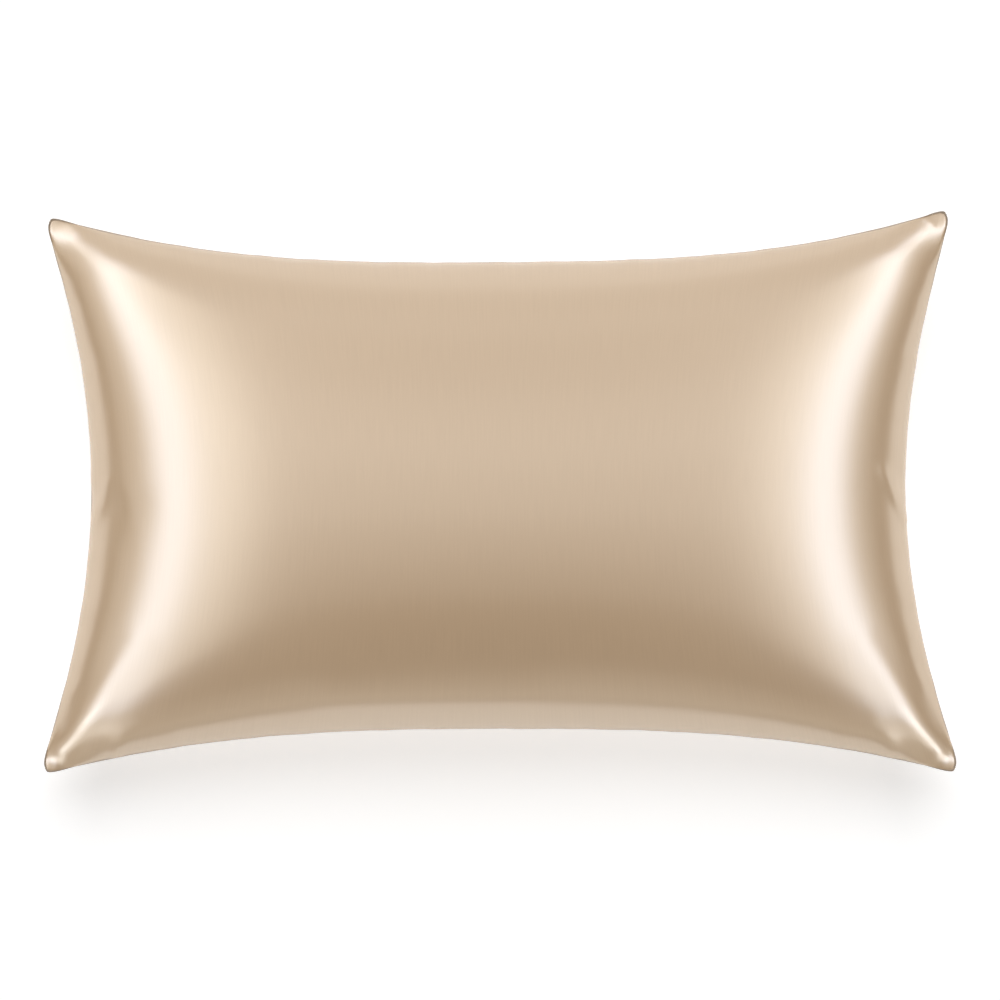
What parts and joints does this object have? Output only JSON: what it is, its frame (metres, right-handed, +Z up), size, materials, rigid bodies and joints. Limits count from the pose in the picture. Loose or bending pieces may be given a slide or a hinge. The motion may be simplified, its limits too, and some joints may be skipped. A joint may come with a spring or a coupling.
{
  "type": "pillowcase filled with its pillow",
  "caption": "Plain satin pillowcase drawn over a plump pillow, with drawn-in sides, pointed corners and one seam all round, lying on its back.",
  "frame": {"origin": "on the surface that the pillow lies on, under the middle of its outline", "axes": "+X along the pillow, +Y across it, +Z up out of the front panel"},
  "size_m": [0.747, 0.4594, 0.1875],
  "materials": {
    "satin": "champagne satin with a bright, soft-edged sheen and a fine vertical weave"
  },
  "bodies": {
    "root": {"pillowcase": "satin"}
  },
  "joints": []
}
